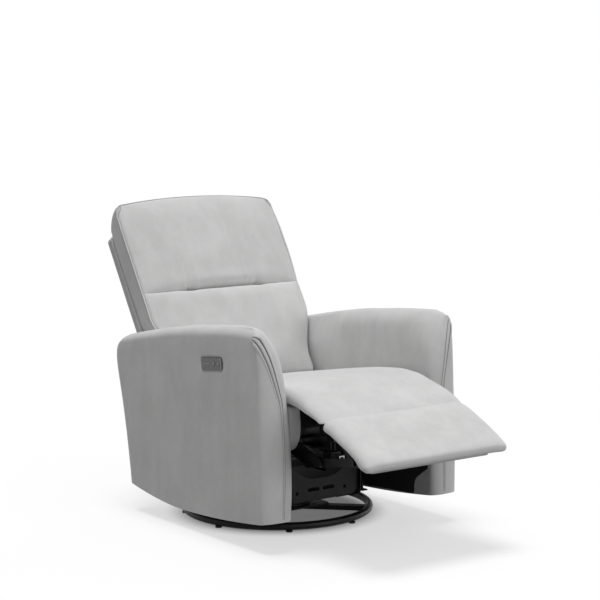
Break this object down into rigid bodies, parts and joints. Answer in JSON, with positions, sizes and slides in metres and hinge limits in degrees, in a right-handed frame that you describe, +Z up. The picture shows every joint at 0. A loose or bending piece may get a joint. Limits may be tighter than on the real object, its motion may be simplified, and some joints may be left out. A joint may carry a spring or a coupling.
{
  "type": "swivel glider recliner",
  "caption": "Fabric power recliner that glides and swivels on a low ring base, shown with its leg rest raised and its back tipped.",
  "frame": {"origin": "on the floor under the middle of the chair's box, in front of the swivel axis", "axes": "+Z up, -Y to the sitter's front, +X to the sitter's left"},
  "size_m": [0.7736, 1.3678, 1.0024],
  "materials": {
    "upholstery": "matt light grey cloth",
    "timber": "plain board",
    "lining": "matt black",
    "black_plastic": "matt",
    "grey_plastic": "satin",
    "black_steel": "satin black"
  },
  "bodies": {
    "base": {"base_ring": "black_steel", "star_arms": "black_steel", "hub_plate": "black_steel", "lower_race": "black_steel", "king_pin": "black_steel", "ring_foot_1": "black_plastic", "ring_foot_2": "black_plastic", "ring_foot_3": "black_plastic", "ring_foot_4": "black_plastic", "ring_foot_5": "black_plastic", "ring_foot_6": "black_plastic", "ring_foot_7": "black_plastic", "ring_foot_8": "black_plastic"},
    "turntable": {"upper_race": "black_steel", "glider_cradle": "black_steel"},
    "glide_front": {"glide_link_front_left": "black_steel", "glide_link_front_right": "black_steel"},
    "glide_rear": {"glide_link_rear_left": "black_steel", "glide_link_rear_right": "black_steel"},
    "chassis": {"glide_tray": "black_steel", "mech_plate_left": "black_steel", "mech_plate_right": "black_steel", "drive_rail": "black_steel", "drive_motor": "black_plastic", "power_inlet": "black_plastic", "drive_strap_front": "black_steel", "drive_strap_rear": "black_steel", "seat_frame": "upholstery", "seat_deck": "timber", "seat_cushion": "upholstery", "arm_left": "upholstery", "arm_right": "upholstery", "arm_liner_left": "lining", "arm_liner_right": "lining", "recline_bracket_left": "black_steel", "recline_bracket_right": "black_steel", "control_plate": "black_plastic", "charging_port": "grey_plastic"},
    "back": {"back_cushion": "upholstery", "back_shell": "upholstery", "back_frame": "timber", "back_bracket_left": "black_steel", "back_bracket_right": "black_steel"},
    "leg_rear": {"leg_link_rear_left": "black_steel", "leg_link_rear_right": "black_steel", "drive_tube": "black_steel"},
    "leg_front": {"leg_link_front_left": "black_steel", "leg_link_front_right": "black_steel"},
    "leg_brace": {"leg_brace_left": "black_steel", "leg_brace_right": "black_steel"},
    "footrest": {"footrest_pad": "upholstery", "footrest_board": "lining", "footrest_bracket_left": "black_steel", "footrest_bracket_right": "black_steel"},
    "flap": {"flap_pad": "upholstery", "flap_board": "lining"},
    "driver": {"drive_block": "black_plastic"},
    "recline_button": {"button_recline": "grey_plastic"},
    "footrest_button": {"button_footrest": "grey_plastic"}
  },
  "joints": [
    {"name": "swivel", "type": "hinge", "parent": "base", "child": "turntable", "pos_m": [0.0018, 0.11767, 0.038], "axis": [0, 0, 1], "continuous": true},
    {"name": "glide_front_swing", "type": "hinge", "parent": "turntable", "child": "glide_front", "pos_m": [0.0018, -0.09733, 0.203], "axis": [1, 0, 0], "range_deg": [-15, 15]},
    {"name": "chassis_glide", "type": "hinge", "parent": "glide_front", "child": "chassis", "pos_m": [0.0018, -0.09733, 0.105], "axis": [1, 0, 0], "range_deg": [-15.2, 15.2]},
    {"name": "glide_rear_swing", "type": "hinge", "parent": "turntable", "child": "glide_rear", "pos_m": [0.0018, 0.33267, 0.203], "axis": [1, 0, 0], "range_deg": [-15.2, 15.2]},
    {"name": "back_recline", "type": "hinge", "parent": "chassis", "child": "back", "pos_m": [0.0018, 0.36763, 0.38], "axis": [-1, 0, 0], "range_deg": [-19, 20]},
    {"name": "leg_rear_fold", "type": "hinge", "parent": "chassis", "child": "leg_rear", "pos_m": [0.0018, -0.13233, 0.33], "axis": [1, 0, 0], "range_deg": [0, 87.87]},
    {"name": "leg_front_fold", "type": "hinge", "parent": "leg_rear", "child": "leg_front", "pos_m": [0.0018, -0.33922, 0.26128], "axis": [1, 0, 0], "range_deg": [-89.31, 0.3]},
    {"name": "footrest_tilt", "type": "hinge", "parent": "leg_front", "child": "footrest", "pos_m": [0.0018, -0.55371, 0.3003], "axis": [1, 0, 0], "range_deg": [-0.3, 65.45]},
    {"name": "leg_brace_fold", "type": "hinge", "parent": "chassis", "child": "leg_brace", "pos_m": [0.0018, -0.20133, 0.344], "axis": [1, 0, 0], "range_deg": [-0.3, 87.88]},
    {"name": "flap_fold", "type": "hinge", "parent": "chassis", "child": "flap", "pos_m": [0.0018, -0.30746, 0.43498], "axis": [1, 0, 0], "range_deg": [-0.3, 71.3]},
    {"name": "driver_slide", "type": "slide", "parent": "chassis", "child": "driver", "axis": [0, 1, 0], "range_m": [-0.0005, 0.08371]},
    {"name": "recline_press", "type": "slide", "parent": "chassis", "child": "recline_button", "axis": [1, 0, 0], "range_m": [0, 0.0012], "stiffness_N_per_m": 300, "springref_m": -0.001},
    {"name": "footrest_press", "type": "slide", "parent": "chassis", "child": "footrest_button", "axis": [1, 0, 0], "range_m": [0, 0.0012], "stiffness_N_per_m": 300, "springref_m": -0.001}
  ],
  "couplings": [
    {"joint": "chassis_glide", "follows": "glide_front_swing", "ratio": -1},
    {"joint": "glide_rear_swing", "follows": "glide_front_swing", "ratio": 1},
    {"joint": "leg_front_fold", "follows": "leg_rear_fold", "ratio": -1.0131},
    {"joint": "footrest_tilt", "follows": "leg_rear_fold", "ratio": 0.74146},
    {"joint": "leg_brace_fold", "follows": "leg_rear_fold", "ratio": 0.99676},
    {"joint": "flap_fold", "follows": "leg_rear_fold", "ratio": 0.80805},
    {"joint": "driver_slide", "follows": "leg_rear_fold", "m_per_rad": 0.054259}
  ]
}
